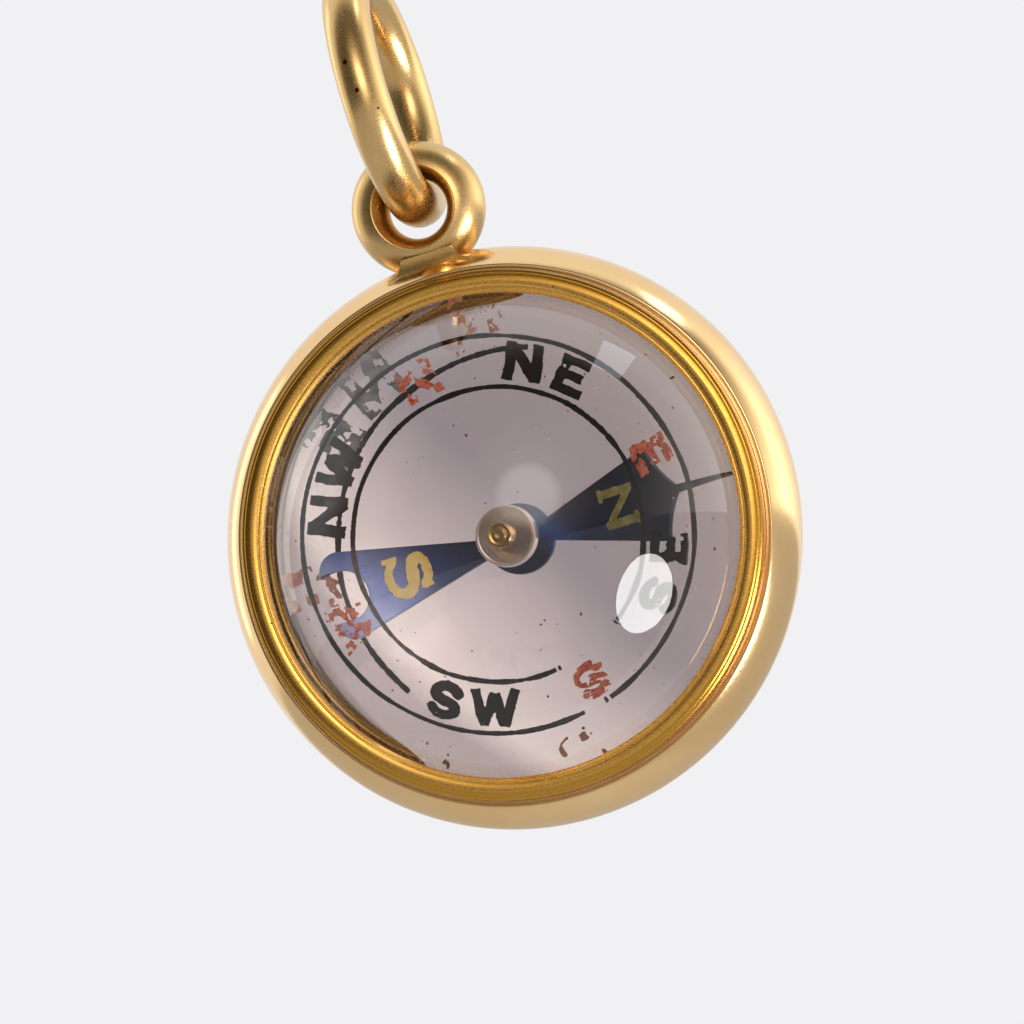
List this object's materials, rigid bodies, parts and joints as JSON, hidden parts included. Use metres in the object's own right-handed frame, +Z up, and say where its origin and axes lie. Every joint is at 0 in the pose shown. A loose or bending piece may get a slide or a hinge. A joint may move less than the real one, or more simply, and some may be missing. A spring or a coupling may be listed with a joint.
{
  "type": "orb compass",
  "caption": "Two-sided pendant compass: a magnetised needle turns between two domed crystals in a round metal case hung from a ring.",
  "frame": {"origin": "centre of the jump ring's eye, the point that a chain or hook holds", "axes": "+Z up along the drop, +X to the right of the front dial, the front dial faces -Y"},
  "size_m": [0.02, 0.0146, 0.0307],
  "materials": {
    "rolled_gold_band": "polished and softly worn",
    "loop_gold": "polished and softly worn",
    "ring_gold": "polished, worn with small pits",
    "bezel_gold": "bright turned",
    "gilt_inner_ring": "matt gilt",
    "crystal": "polished, faintly tinted",
    "seal": "varnished",
    "dial_paint": "hand-laid enamel paint",
    "pivot_brass": "turned and polished",
    "jewel": "polished",
    "blued_steel": "blued",
    "polished_cap": "mirror polished",
    "staff_steel": "polished"
  },
  "bodies": {
    "ring": {"jump_ring": "ring_gold"},
    "case": {"case_band": "rolled_gold_band", "loop": "loop_gold", "loop_saddle": "loop_gold", "front_bezel": "bezel_gold", "rear_bezel": "bezel_gold", "front_crystal": "crystal", "rear_crystal": "crystal", "spacer_ring": "gilt_inner_ring", "front_seal": "seal", "rear_seal": "seal", "front_dial": "dial_paint", "rear_dial": "dial_paint", "front_pivot_cup": "pivot_brass", "rear_pivot_cup": "pivot_brass", "front_jewel": "jewel", "rear_jewel": "jewel"},
    "needle": {"needle_blade": "blued_steel", "needle_front_cap": "polished_cap", "needle_rear_cap": "pivot_brass", "needle_staff": "staff_steel"}
  },
  "joints": [
    {"name": "case_swing", "type": "hinge", "parent": "ring", "child": "case", "pos_m": [0, 0, -0.00394], "axis": [0, 1, 0], "range_deg": [-90, 90]},
    {"name": "needle_spin", "type": "hinge", "parent": "case", "child": "needle", "pos_m": [0, 0, -0.01592], "axis": [0, 1, 0], "continuous": true}
  ]
}
